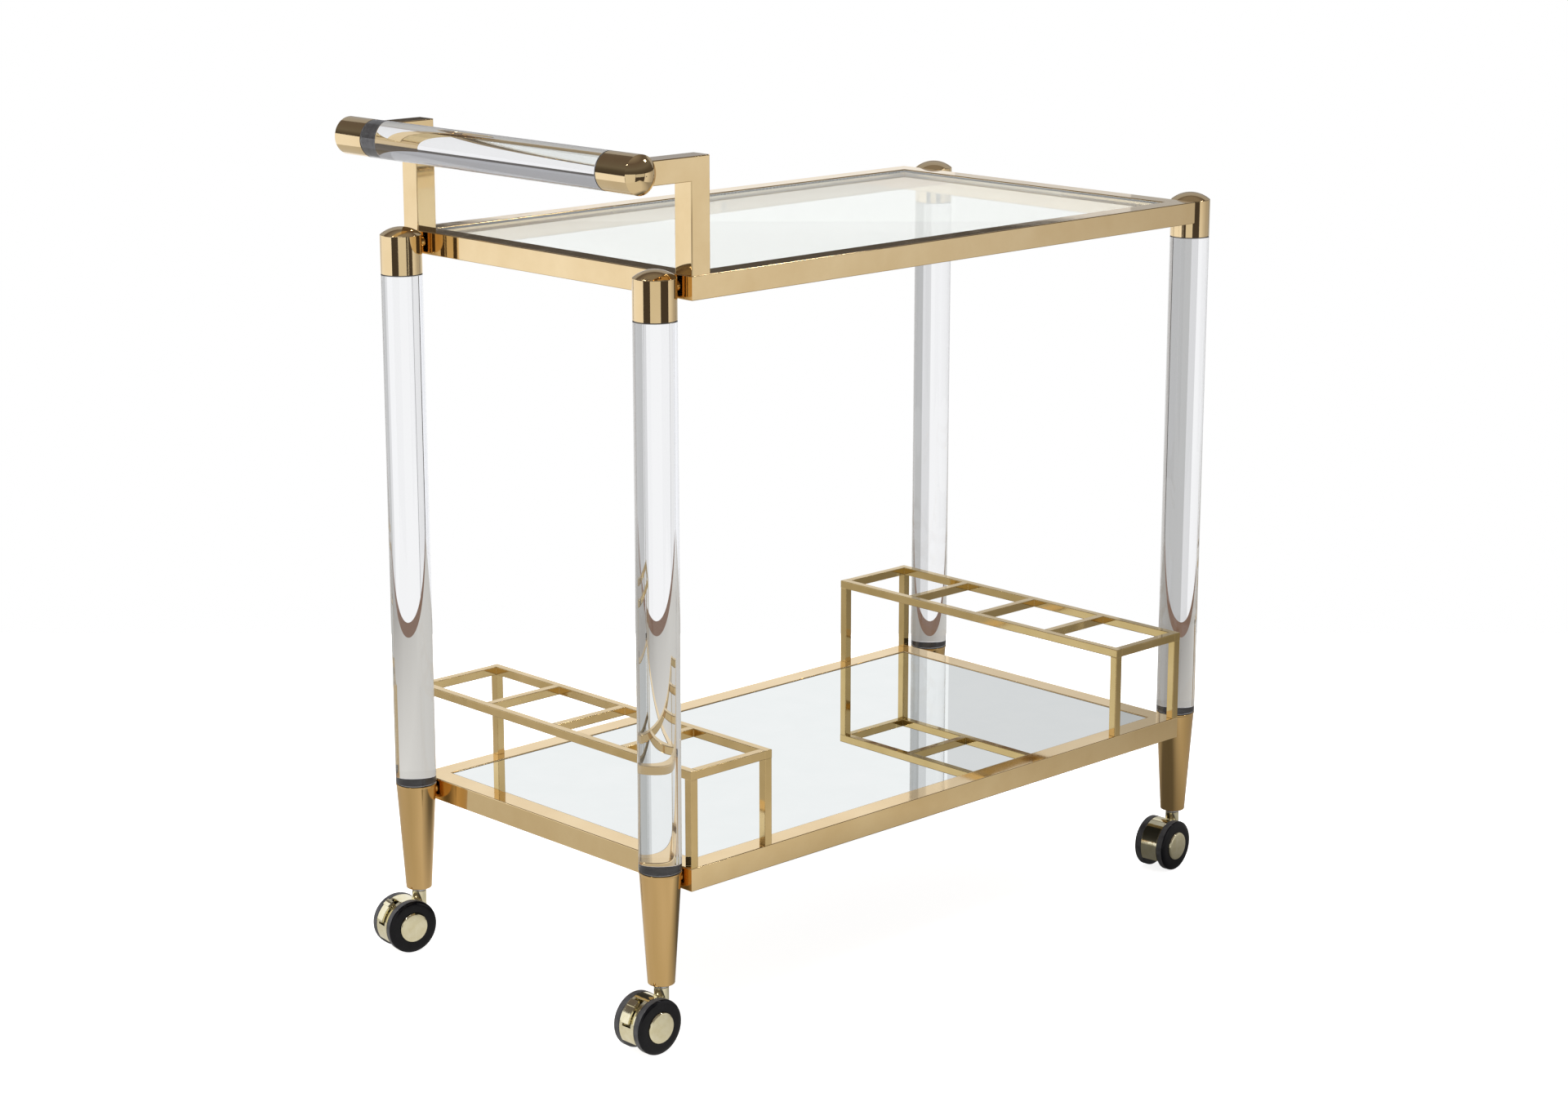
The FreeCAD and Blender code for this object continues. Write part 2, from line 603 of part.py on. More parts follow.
def caster_stem():
    """Stem pressed into the leg, with the collar that the swivel turns under."""
    stem = rod(Vector(0, 0, STEM_BOTTOM_Z), Z_AXIS, STEM_D, STEM_TOP_Z - STEM_BOTTOM_Z)
    collar_low = NECK_TOP_Z + HOOD_GAP
    collar = rod(Vector(0, 0, collar_low), Z_AXIS, COLLAR_D, LEG_BOTTOM_Z - collar_low)
    return stem.fuse(collar).removeSplitter()


def make_casters():
    """Each caster is drawn about its axle, trailing towards -X from its stem, then turned about the stem."""
    nodes = {}
    stems = []
    wheel_offset = HOOD_WIDTH / 2 + HOOD_GAP
    axle_half = wheel_offset + WHEEL_WIDTH - HUB_CAP_DEPTH - AXLE_END_GAP
    for name, x_dir, y_dir, swivel, has_brake in CORNERS:
        stem_foot = post_centre(x_dir, y_dir)
        axle_centre = stem_foot + Vector(-TRAIL, 0, WHEEL_R)
        outer_wheel = moved(wheel(), Vector(0, -wheel_offset, 0))
        outer_cap = moved(hub_cap(), Vector(0, -wheel_offset, 0))
        pieces = {
            "caster_hood_" + name: hood(has_brake),
            "caster_axle_" + name: rod(Vector(0, -axle_half, 0), Y_AXIS, AXLE_D, 2 * axle_half),
            "wheel_right_" + name: outer_wheel,
            "wheel_left_" + name: spun(outer_wheel, 180),
            "hub_cap_right_" + name: outer_cap,
            "hub_cap_left_" + name: spun(outer_cap, 180),
        }
        if has_brake:
            pieces["brake_lever_" + name] = brake_lever()
        for node, piece in pieces.items():
            nodes[node] = spun(moved(piece, axle_centre), swivel, stem_foot)
        stems.append(moved(caster_stem(), stem_foot))
    nodes["caster_stems"] = stems
    return nodes


def save(node, shape):
    solids = shape if isinstance(shape, list) else [shape]
    placed = [moved(solid, ORIGIN_SHIFT) for solid in solids]
    result = placed[0] if len(placed) == 1 else Part.makeCompound(placed)
    for solid in result.Solids:
        if not solid.isValid():
            raise ValueError(node + " has an invalid solid")
    result.exportStep(os.path.join("parts", node + ".step"))


def main():
    os.makedirs("parts", exist_ok=True)
    post_nodes, post_discs = make_posts()
    handle_nodes, handle_discs = make_handle()
    nodes = {"bond_discs": post_discs + handle_discs}
    for group in (post_nodes, handle_nodes, make_frames(), make_shelves(), make_racks(), make_casters()):
        nodes.update(group)
    for node, shape in nodes.items():
        save(node, shape)
    print(len(nodes), "nodes")


main()
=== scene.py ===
"""Looks of the two-tier bar cart: plated, clear and mirrored finishes, turned pieces, studio and camera.

Metres, in the row frame: +X away from the handle, +Y left, +Z up, origin on the floor.
"""
import json
import math

import bmesh
import bpy
from mathutils import Matrix, Vector


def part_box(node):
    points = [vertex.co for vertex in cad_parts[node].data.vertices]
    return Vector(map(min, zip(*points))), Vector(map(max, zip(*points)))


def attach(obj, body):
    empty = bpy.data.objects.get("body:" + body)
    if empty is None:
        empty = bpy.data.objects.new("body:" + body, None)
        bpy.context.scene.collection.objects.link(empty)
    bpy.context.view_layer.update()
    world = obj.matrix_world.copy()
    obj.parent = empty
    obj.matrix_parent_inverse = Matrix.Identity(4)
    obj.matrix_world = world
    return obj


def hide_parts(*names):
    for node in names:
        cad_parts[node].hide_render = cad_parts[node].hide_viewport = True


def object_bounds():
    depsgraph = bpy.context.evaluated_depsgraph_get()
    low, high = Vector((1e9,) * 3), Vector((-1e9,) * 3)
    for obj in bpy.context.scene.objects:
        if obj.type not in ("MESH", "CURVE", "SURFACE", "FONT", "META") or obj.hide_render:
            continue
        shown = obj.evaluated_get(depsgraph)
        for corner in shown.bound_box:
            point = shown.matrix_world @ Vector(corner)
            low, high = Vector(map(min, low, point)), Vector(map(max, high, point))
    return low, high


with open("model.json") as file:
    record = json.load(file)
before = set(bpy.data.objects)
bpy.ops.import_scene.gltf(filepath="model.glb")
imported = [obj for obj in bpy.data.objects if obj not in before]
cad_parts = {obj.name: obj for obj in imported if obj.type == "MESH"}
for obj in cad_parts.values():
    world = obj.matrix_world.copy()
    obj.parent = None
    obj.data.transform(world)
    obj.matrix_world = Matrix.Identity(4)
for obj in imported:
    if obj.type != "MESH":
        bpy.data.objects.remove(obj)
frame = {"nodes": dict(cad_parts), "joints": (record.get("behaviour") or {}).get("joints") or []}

CAD_LOW, CAD_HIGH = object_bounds()
CENTRE = (CAD_LOW + CAD_HIGH) / 2
NODES = frame["nodes"]
JOINTS = {joint["name"]: joint for joint in frame["joints"]}
CORNERS = ("front_left", "front_right", "rear_left", "rear_right")
MM = 0.001

# A ring this far from each round keeps the straight walls of a turned piece shaded straight.
HOLD = 0.2 * MM
SHARP_ANGLE = math.radians(35)
# A profile point nearer the axis than this is on it.
ON_AXIS = 1e-7

# Clear rods
ROD_EASE = 0.7 * MM
ROD_LET_IN = 0.2 * MM
ROD_FLAT_INSET = 1.5 * MM
ROD_SEGMENTS = 256

# Wheels.  Heights run outwards from a wheel's inner face, which stands off its joint by WHEEL_INNER_FACE.
WHEEL_INNER_FACE = 9.55 * MM
WHEEL_R = 25.2 * MM
WHEEL_WIDTH = 8.1 * MM
WHEEL_BORE_R = 3.05 * MM
WHEEL_SEGMENTS = 192
TYRE_ROUND = 0.8 * MM
TYRE_FLAT_INSET = 1.2 * MM
GROOVE_AT = 5.9 * MM
GROOVE_DEPTH = 0.5 * MM
GROOVE_WIDTH = 0.15 * MM
GROOVE_ROUND = 0.3 * MM
FACE_STEP = 0.1 * MM
FACE_ROUND = 5.6 * MM
SEAT_LIP = 0.4 * MM
SEAT_LIP_AT = 0.5 * MM
SEAT_FLAT_INSET = 0.8 * MM

# Hub caps, in the seats of the wheels' outer faces
CAP_SEAT_R = 14.3 * MM
CAP_SEAT = 6.1 * MM
CAP_GAP = 0.05 * MM
CAP_TOP = 10.4 * MM
CAP_CROWN = 0.4 * MM
CAP_CROWN_STEPS = 8
CAP_ROUND = 1.9 * MM
CAP_SEGMENTS = 160

# Camera, about the middle of the cart's box
CAMERA_AZIMUTH = math.radians(-43.88)
CAMERA_ELEVATION = math.radians(13.94)
CAMERA_DISTANCE = 3.1153
CAMERA_AIM = Vector((-0.0155, 0.0024, -0.0367))
CAMERA_LENS = 74.71
SENSOR_WIDTH = 36.0

# Level directions away from the camera and to its right.  Distances along them are called depth and reach.
AWAY = Vector((-math.sin(CAMERA_AZIMUTH), math.cos(CAMERA_AZIMUTH), 0))
RIGHT = Vector((AWAY.y, -AWAY.x, 0))

# Studio cards: bright walls round the cart
CARD_HEIGHT = 0.83
BACK_DEPTH = 1.015
FRONT_DEPTH = -1.6
LEFT_REACH = -1.6
RIGHT_REACH = 1.5
SKIRTING = 0.020
CARD_FADE = (-0.45, 0.35)
BROWN = (0.20, 0.12, 0.085)
WHITE = (0.96, 0.96, 0.97)
CREAM = (1.03, 1.04, 1.08)
PALE = (0.62, 0.62, 0.60)
GREY = (0.40, 0.40, 0.42)
BACK_LEFT = -1.50
BACK_RIGHT = 1.40
# Name, left edge, right edge and colour of each panel of the back wall
BACK_PANELS = (
    ("card_back_left", BACK_LEFT, -0.935, (0.85, 0.85, 0.86)),
    ("card_back_seam", -0.935, -0.905, (0.42, 0.42, 0.43)),
    ("card_back", -0.905, 0.20, WHITE),
    ("card_back_middle", 0.20, 0.42, (0.74, 0.74, 0.75)),
    ("card_back_right", 0.42, BACK_RIGHT, (0.50, 0.50, 0.50)),
)
# Foot and top edge of the wall above the back panels, and of the cards above the gaps beside the front one
UPPER_WALL = (0.93, 1.80)
HIGH_CARDS = (0.54, 0.82)
# Colours of the dim room that the cart mirrors, by how steeply it looks up: 0 is level and 1 straight up
ROOM_LIGHT = (
    (0.0, (0.070, 0.060, 0.054)),
    (0.20, (0.095, 0.085, 0.075)),
    (0.38, (0.16, 0.15, 0.14)),
    (0.70, (0.135, 0.110, 0.100)),
    (0.90, (0.26, 0.235, 0.215)),
)

# The cart's soft shadow on the floor, in plan: how much light it leaves, and over how much of its reach
SHADOW_MIDDLE = (0.12, -0.12)
SHADOW_REACH = (0.50, 0.42)
SHADOW_LIGHT = 0.20
SHADOW_CORE = 0.45

# Colour sockets of a Mix node, which come after its sockets for numbers and vectors
MIX_A, MIX_B, MIX_RESULT = 6, 7, 2


class Finish:
    """A material's node tree, with short ways to add nodes and join them."""

    def __init__(self, name):
        self.material = bpy.data.materials.new(name)
        self.material.use_nodes = True
        self.tree = self.material.node_tree
        self.tree.nodes.clear()
        self.output = self.add("ShaderNodeOutputMaterial")
        self.place = self.add("ShaderNodeTexCoord").outputs["Object"]

    def add(self, kind, inputs=None, **settings):
        """A new node.  An input is a number, a vector, a colour or another node's output."""
        node = self.tree.nodes.new(kind)
        for name, value in settings.items():
            setattr(node, name, value)
        for name, value in (inputs or {}).items():
            if isinstance(value, bpy.types.NodeSocket):
                self.tree.links.new(value, node.inputs[name])
            else:
                node.inputs[name].default_value = value
        return node

    def noise(self, scale, detail=3.0, roughness=0.5, stretch=(1, 1, 1)):
        """Noise from 0 to 1, with this many features to the metre along each axis, times stretch."""
        mapping = self.add("ShaderNodeMapping", {"Vector": self.place, "Scale": stretch})
        noise = self.add("ShaderNodeTexNoise", {
            "Vector": mapping.outputs[0], "Scale": scale, "Detail": detail, "Roughness": roughness})
        return noise.outputs["Fac"]

    def spread(self, value, low, high, start=0.3, end=0.7):
        """Value from start to end, stretched to run from low to high."""
        node = self.add("ShaderNodeMapRange", {
            "Value": value, "From Min": start, "From Max": end, "To Min": low, "To Max": high})
        return node.outputs["Result"]

    def mixed(self, factor, low, high):
        """Colour from low to high as factor goes from 0 to 1.  Each is a colour or another node's output."""
        node = self.add("ShaderNodeMix", {"Factor": factor, MIX_A: low, MIX_B: high}, data_type="RGBA")
        return node.outputs[MIX_RESULT]

    def tint(self, value, low, high, start=0.3, end=0.7):
        """Colour from low to high as value goes from start to end."""
        return self.mixed(self.spread(value, 0.0, 1.0, start, end), (*low, 1), (*high, 1))

    def blended(self, share, under, over):
        """Shader that runs from under to over as share goes from 0 to 1."""
        return self.add("ShaderNodeMixShader", {0: share, 1: under.outputs[0], 2: over.outputs[0]})

    def along(self, direction):
        """How far a point lies along a direction."""
        node = self.add("ShaderNodeVectorMath", {0: self.place, 1: direction}, operation="DOT_PRODUCT")
        return node.outputs["Value"]

    def height(self):
        """How far a point lies above the floor."""
        return self.add("ShaderNodeSeparateXYZ", {"Vector": self.place}).outputs["Z"]

    def times(self, value, factor):
        """The product of two numbers."""
        return self.add("ShaderNodeMath", {0: value, 1: factor}, operation="MULTIPLY").outputs[0]

    def bump(self, height, distance, under=None):
        """Normal of a surface that rises by up to distance, over the one under it."""
        node = self.add("ShaderNodeBump", {"Height": height, "Strength": 1.0, "Distance": distance})
        if under is not None:
            self.tree.links.new(under, node.inputs["Normal"])
        return node.outputs["Normal"]

    def eased_edges(self, radius):
        """Normal of a surface whose sharp edges look rounded."""
        return self.add("ShaderNodeBevel", {"Radius": radius}, samples=4).outputs["Normal"]

    def surface(self, **inputs):
        """The main shader.  Underscores in the names of its inputs stand for spaces."""
        named = {name.replace("_", " "): value for name, value in inputs.items()}
        self.show(self.add("ShaderNodeBsdfPrincipled", named).outputs[0])

    def show(self, shader):
        """Gives the surface this shader."""
        self.tree.links.new(shader, self.output.inputs["Surface"])


def polished_gold(name, low, high):
    """Mirror-bright plating between two tones, with slow waves in the tube walls and faint wipe marks."""
    f = Finish(name)
    tone = f.noise(13.0, 4.0, 0.6)
    wipe = f.noise(38.0, 6.0, 0.62, (1.0, 1.4, 0.6))
    waves = f.bump(f.noise(16.0, 1.0), 0.00007)
    grain = f.bump(f.noise(700.0, 2.0), 0.0000006, waves)
    f.surface(Base_Color=f.tint(tone, low, high), Metallic=1.0,
              Roughness=f.spread(wipe, 0.035, 0.085, 0.4, 0.75), Normal=grain)
    return f.material


def rack_gold(name, low, high):
    """The racks' thin bars, plated a deeper yellow than the frames."""
    f = Finish(name)
    tone = f.noise(30.0, 3.0)
    wipe = f.noise(60.0, 6.0, 0.62)
    eased = f.eased_edges(0.9 * MM)
    waves = f.bump(f.noise(45.0, 1.0), 0.00005, eased)
    f.surface(Base_Color=f.tint(tone, low, high), Metallic=1.0,
              Roughness=f.spread(wipe, 0.05, 0.11, 0.4, 0.75), Normal=waves)
    return f.material


def satin_gold():
    """Brushed plating of the tapered legs, with fine upright lines."""
    f = Finish("satin_gold_finish")
    lines = f.noise(1500.0, 3.0, 0.6, (1.0, 1.0, 0.02))
    bands = f.noise(60.0, 2.0, 0.5, (1.0, 1.0, 0.08))
    brushed = f.bump(lines, 0.0000008)
    f.surface(Base_Color=f.tint(bands, (0.640, 0.425, 0.175), (0.755, 0.510, 0.235)), Metallic=1.0,
              Roughness=f.spread(lines, 0.10, 0.16), Normal=brushed)
    return f.material


def caster_plating():
    """Pale bright plating over zinc castings, a little uneven, with eased edges."""
    f = Finish("caster_plating_finish")
    skin = f.noise(140.0, 2.0)
    pits = f.noise(900.0, 3.0, 0.6)
    eased = f.eased_edges(0.5 * MM)
    uneven = f.bump(skin, 0.00006, eased)
    f.surface(Base_Color=f.tint(skin, (0.830, 0.755, 0.500), (0.900, 0.840, 0.610)), Metallic=1.0,
              Roughness=f.spread(pits, 0.05, 0.12), Normal=uneven)
    return f.material


def clear_acrylic():
    """Water-clear rod.  Lamps shine through it, so that it casts no dark shadow."""
    f = Finish("clear_acrylic_finish")
    ripple = f.noise(9.0, 1.0, 0.5, (2.0, 2.0, 1.0))
    body = f.add("ShaderNodeBsdfPrincipled", {
        "Base Color": (0.955, 0.960, 0.966, 1), "Roughness": 0.0, "IOR": 1.49, "Transmission Weight": 1.0,
        "Normal": f.bump(ripple, 0.00004)})
    through = f.add("ShaderNodeBsdfTransparent", {"Color": (0.94, 0.95, 0.96, 1)})
    path = f.add("ShaderNodeLightPath")
    f.show(f.blended(path.outputs["Is Shadow Ray"], body, through).outputs[0])
    return f.material


def clear_glass():
    """Float glass: nearly clear, faintly green, with soft reflections, and a pale diffuse layer at grazing
    angles that is a painted reflection of the white studio.
    """
    f = Finish("clear_glass_finish")
    film = f.noise(7.0, 4.0, 0.6)
    through = f.add("ShaderNodeBsdfTransparent", {
        "Color": f.tint(film, (0.975, 0.984, 0.980), (0.982, 0.990, 0.986))})
    gloss = f.add("ShaderNodeBsdfGlossy", {"Color": (0.95, 1.0, 0.98, 1), "Roughness": 0.02})
    # Pale diffuse layer that rises at grazing angles: a painted reflection of the white studio.
    painted_reflection_veil = f.add("ShaderNodeBsdfDiffuse", {"Color": (0.90, 0.92, 0.91, 1)})
    edge = f.add("ShaderNodeFresnel", {"IOR": 1.5}).outputs[0]
    clear = f.blended(f.times(edge, 0.14), through, gloss)
    f.show(f.blended(f.times(edge, 0.50), clear, painted_reflection_veil).outputs[0])
    return f.material


def mirror_glass():
    """Silvered glass, clean but for a thin film."""
    f = Finish("mirror_glass_finish")
    film = f.noise(24.0, 5.0, 0.6)
    f.surface(Base_Color=f.tint(film, (0.860, 0.895, 0.885), (0.885, 0.915, 0.905)), Metallic=1.0,
              Roughness=f.spread(film, 0.0, 0.02, 0.5, 0.8), Normal=f.bump(f.noise(5.0, 1.0), 0.00003))
    return f.material


def backing_board():
    """Hardboard painted matt black, with a woven back face."""
    f = Finish("backing_board_finish")
    weave = f.noise(420.0, 4.0, 0.6)
    mottle = f.noise(30.0, 4.0)
    f.surface(Base_Color=f.tint(mottle, (0.018, 0.017, 0.016), (0.034, 0.032, 0.030)),
              Roughness=f.spread(weave, 0.62, 0.80), Normal=f.bump(weave, 0.0002))
    return f.material


def black_rubber():
    """Soft matt rubber of the strips round the shelves."""
    f = Finish("black_rubber_finish")
    bloom = f.noise(90.0, 4.0)
    f.surface(Base_Color=f.tint(bloom, (0.016, 0.015, 0.017), (0.030, 0.028, 0.031)),
              Roughness=f.spread(bloom, 0.42, 0.60), Normal=f.bump(f.noise(1200.0, 2.0), 0.00001))
    return f.material


def bond_film():
    """Bonding film at the ends of the clear rods: nearly black at the posts' feet, and painted lighter
    higher up as painted light.
    """
    f = Finish("bond_film_finish")
    mottle = f.noise(180.0, 4.0)
    post_film = f.tint(mottle, (0.036, 0.034, 0.036), (0.062, 0.060, 0.063))
    # The same film painted lighter above the posts' feet: painted light on the discs under the caps and at
    # the handle.
    painted_light_upper_film = f.tint(mottle, (0.120, 0.118, 0.124), (0.185, 0.183, 0.190))
    f.surface(Base_Color=f.mixed(f.spread(f.height(), 0.0, 1.0, 0.4, 0.6), post_film, painted_light_upper_film),
              Specular_IOR_Level=0.0, Roughness=f.spread(mottle, 0.16, 0.30),
              Normal=f.bump(mottle, 0.00001))
    return f.material


def wheel_face():
    """Gloss black moulding."""
    f = Finish("wheel_face_finish")
    haze = f.noise(160.0, 4.0, 0.6)
    f.surface(Base_Color=f.tint(haze, (0.004, 0.004, 0.006), (0.009, 0.009, 0.012)),
              Specular_IOR_Level=0.22, Roughness=f.spread(haze, 0.06, 0.16),
              Normal=f.bump(f.noise(220.0, 1.0), 0.00003))
    return f.material


def wheel_tread():
    """Duller grey-black tyre, with a fine mottled surface."""
    f = Finish("wheel_tread_finish")
    mottle = f.noise(900.0, 4.0, 0.7)
    scuff = f.noise(120.0, 4.0)
    f.surface(Base_Color=f.tint(scuff, (0.045, 0.045, 0.050), (0.120, 0.120, 0.128)),
              Roughness=f.spread(mottle, 0.38, 0.60), Normal=f.bump(mottle, 0.00006))
    return f.material


def fastener_steel():
    """Plain steel of the screws, studs, stems and axles, with fine turned lines."""
    f = Finish("fastener_steel_finish")
    lines = f.noise(900.0, 3.0, 0.6, (1.0, 1.0, 0.15))
    f.surface(Base_Color=f.tint(lines, (0.560, 0.555, 0.545), (0.660, 0.650, 0.635)), Metallic=1.0,
              Roughness=f.spread(lines, 0.16, 0.30), Normal=f.bump(lines, 0.000004))
    return f.material


FINISHES = {
    "polished_gold": polished_gold("polished_gold_finish", (0.780, 0.585, 0.320), (0.865, 0.680, 0.405)),
    "satin_gold": satin_gold(),
    "caster_plating": caster_plating(),
    "clear_acrylic": clear_acrylic(),
    "clear_glass": clear_glass(),
    "mirror_glass": mirror_glass(),
    "backing_black": backing_board(),
    "black_rubber": black_rubber(),
    "wheel_black": wheel_face(),
    "fastener_steel": fastener_steel(),
}
TREAD = wheel_tread()

# The lower frame's gold is a little deeper than the upper one's.
LOWER_GOLD = polished_gold("lower_gold_finish", (0.788, 0.577, 0.295), (0.873, 0.670, 0.374))

# Nodes whose finish differs from the rest of their slot
SPECIAL = {
    "lower_long_rails": LOWER_GOLD,
    "lower_end_rails": LOWER_GOLD,
    # The front rack has the rear rack's gold made darker: painted shade at the end away from the handle.
    "bottle_rack_front": rack_gold("front_rack_shaded_finish", (0.552, 0.405, 0.172), (0.644, 0.478, 0.226)),
    "bottle_rack_rear": rack_gold("rear_rack_finish", (0.630, 0.460, 0.207), (0.735, 0.545, 0.273)),
    "bond_discs": bond_film(),
}


def paint_nodes():
    """Gives every CAD node its own finish, or the one that its record slot names."""
    for name, node in NODES.items():
        for slot in node.material_slots:
            slot.material = SPECIAL.get(name) or FINISHES[slot.material.name]


def arc(centre, radius, start, end, steps):
    """Points on an arc about (radius, height), between two angles in degrees."""
    points = []
    for step in range(steps + 1):
        angle = math.radians(start + (end - start) * step / steps)
        points.append((centre[0] + radius * math.cos(angle), centre[1] + radius * math.sin(angle)))
    return points


def turned(name, profile, foot, axis, finishes, segments, finish_of=None):
    """Piece turned about an axis through foot, from (radius, height) points.

    finish_of picks one of the finishes for each ring of faces.
    """
    mesh = bmesh.new()
    rings = []
    for radius, height in profile:
        if radius < ON_AXIS:
            rings.append([mesh.verts.new((0, 0, height))])
            continue
        turn = [2 * math.pi * step / segments for step in range(segments)]
        rings.append([mesh.verts.new((radius * math.cos(a), radius * math.sin(a), height)) for a in turn])
    for index, (low, high) in enumerate(zip(rings, rings[1:])):
        for step in range(segments):
            after = (step + 1) % segments
            corners = [low[step % len(low)], low[after % len(low)]]
            corners += [high[after % len(high)], high[step % len(high)]]
            # A ring of one point gives its corner twice, and the face keeps it once.
            face = mesh.faces.new(list(dict.fromkeys(corners)))
            face.smooth = True
            face.material_index = finish_of(index) if finish_of else 0
    bmesh.ops.recalc_face_normals(mesh, faces=mesh.faces)
    data = bpy.data.meshes.new(name)
    mesh.to_mesh(data)
    mesh.free()
    lean = Vector((0, 0, 1)).rotation_difference(axis).to_matrix().to_4x4()
    data.transform(Matrix.Translation(foot) @ lean)
    data.set_sharp_from_angle(angle=SHARP_ANGLE)
    piece = bpy.data.objects.new(name, data)
    bpy.context.scene.collection.objects.link(piece)
    for finish in finishes:
        data.materials.append(finish)
    return piece


def long_axis(low, high):
    """Index of the longest side of a box."""
    size = high - low
    return max(range(3), key=lambda index: size[index])


def clear_rod(node):
    """Polished rod with eased ends, let a hair into the dark discs it is bonded to."""
    low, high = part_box(node)
    along = long_axis(low, high)
    radius = (high - low)[(along + 1) % 3] / 2
    length = (high - low)[along] + 2 * ROD_LET_IN
    axis = Vector([1.0 if index == along else 0.0 for index in range(3)])
    foot = (low + high) / 2 - axis * length / 2
    held = ROD_EASE + HOLD
    profile = [(0, 0), (radius - ROD_FLAT_INSET, 0)]
    profile += arc((radius - ROD_EASE, ROD_EASE), ROD_EASE, -90, 0, 4)
    profile += [(radius, held), (radius, length - held)]
    profile += arc((radius - ROD_EASE, length - ROD_EASE), ROD_EASE, 0, 90, 4)
    profile += [(radius - ROD_FLAT_INSET, length), (0, length)]
    piece = turned("clear_" + node, profile, foot, axis, [FINISHES["clear_acrylic"]], ROD_SEGMENTS)
    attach(piece, "frame")
    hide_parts(node)


def clear_rods():
    """The four posts and the handle."""
    for corner in CORNERS:
        clear_rod("post_rod_" + corner)
    clear_rod("handle_rod")


def quarter_oval(start, end, steps):
    """Points on a quarter oval that leaves start upright and reaches end level."""
    points = []
    for step in range(steps + 1):
        angle = math.radians(90 * step / steps)
        radius = end[0] + (start[0] - end[0]) * math.cos(angle)
        points.append((radius, start[1] + (end[1] - start[1]) * math.sin(angle)))
    return points


def wheel_profile():
    """Half section of a wheel, from its inner face outwards, and the index where its tyre ends."""
    profile = [(WHEEL_BORE_R, 0), (WHEEL_R - TYRE_FLAT_INSET, 0)]
    profile += arc((WHEEL_R - TYRE_ROUND, TYRE_ROUND), TYRE_ROUND, -90, 0, 6)
    profile += [(WHEEL_R, TYRE_ROUND + HOLD), (WHEEL_R, GROOVE_AT - GROOVE_ROUND - HOLD)]
    profile += arc((WHEEL_R - GROOVE_ROUND, GROOVE_AT - GROOVE_ROUND), GROOVE_ROUND, 0, 90, 4)
    face_foot = GROOVE_AT + GROOVE_WIDTH
    profile += [(WHEEL_R - GROOVE_DEPTH, GROOVE_AT), (WHEEL_R - GROOVE_DEPTH, face_foot)]
    tyre_end = len(profile) - 2
    profile += quarter_oval((WHEEL_R - FACE_STEP, face_foot), (WHEEL_R - FACE_ROUND, WHEEL_WIDTH), 14)
    profile += [(CAP_SEAT_R + SEAT_FLAT_INSET, WHEEL_WIDTH)]
    profile += arc((CAP_SEAT_R + SEAT_LIP_AT, WHEEL_WIDTH - SEAT_LIP), SEAT_LIP, 90, 180, 5)
    profile += [(CAP_SEAT_R, CAP_SEAT), (WHEEL_BORE_R, CAP_SEAT), (WHEEL_BORE_R, 0)]
    return profile, tyre_end


def cap_profile():
    """Half section of a hub cap: a rounded rim under a very shallow dome."""
    rim_top = CAP_TOP - CAP_CROWN
    cap_r = CAP_SEAT_R - CAP_GAP
    profile = [(0, CAP_SEAT), (cap_r, CAP_SEAT), (cap_r, rim_top - CAP_ROUND - HOLD)]
    profile += arc((cap_r - CAP_ROUND, rim_top - CAP_ROUND), CAP_ROUND, 0, 84, 14)
    edge_r = profile[-1][0]
    for step in range(1, CAP_CROWN_STEPS + 1):
        radius = edge_r * (1 - step / CAP_CROWN_STEPS)
        profile.append((radius, CAP_TOP - CAP_CROWN * (radius / edge_r) ** 2))
    return profile


def wheels():
    """Both wheels of every caster, with their hub caps, about the axles that their joints turn on."""
    section, tyre_end = wheel_profile()
    for corner in CORNERS:
        for side, sign in (("left", 1), ("right", -1)):
            joint = JOINTS["spin_" + side + "_" + corner]
            axis = Vector(joint["axis"])
            outward = axis if axis.y * sign > 0 else -axis
            foot = Vector(joint["pos_m"]) + outward * WHEEL_INNER_FACE
            body = "wheel_" + side + "_" + corner
            wheel = turned("turned_" + body, section, foot, outward, [FINISHES["wheel_black"], TREAD],
                           WHEEL_SEGMENTS, lambda index: 1 if index < tyre_end else 0)
            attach(wheel, body)
            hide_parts(body)
            cap = turned("turned_hub_cap_" + side + "_" + corner, cap_profile(), foot, outward,
                         [FINISHES["caster_plating"]], CAP_SEGMENTS)
            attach(cap, body)
            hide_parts("hub_cap_" + side + "_" + corner)


def glow(name, near, far, skirting=None):
    """Light from a studio card, from its near colour to its far one, over a skirting if it has one."""
    f = Finish(name)
    colour = f.tint(f.along(AWAY), near, far, *CARD_FADE)
    if skirting is not None:
        below = f.add("ShaderNodeMath", {0: f.height(), 1: SKIRTING}, operation="LESS_THAN").outputs[0]
        colour = f.mixed(below, colour, (*skirting, 1))
    f.show(f.add("ShaderNodeEmission", {"Color": colour, "Strength": 1.0}).outputs[0])
    return f.material


def stage_mesh(name, corners, material):
    """Flat panel of the studio, which isn't part of the cart."""
    data = bpy.data.meshes.new(name)
    data.from_pydata([tuple(corner) for corner in corners], [], [tuple(range(len(corners)))])
    data.materials.append(material)
    piece = bpy.data.objects.new(name, data)
    bpy.context.scene.collection.objects.link(piece)
    return piece


def card(name, start, end, near, far=None, skirting=None, foot=0.0, tops=(CARD_HEIGHT, CARD_HEIGHT)):
    """Upright card between two (reach, depth) points.  The camera looks through it."""
    foot_a = RIGHT * start[0] + AWAY * start[1] + Vector((0, 0, foot))
    foot_b = RIGHT * end[0] + AWAY * end[1] + Vector((0, 0, foot))
    top_a = Vector((foot_a.x, foot_a.y, tops[0]))
    top_b = Vector((foot_b.x, foot_b.y, tops[1]))
    panel = stage_mesh(name, [foot_a, foot_b, top_b, top_a], glow(name, near, far or near, skirting))
    panel.visible_camera = False
    panel.visible_shadow = False


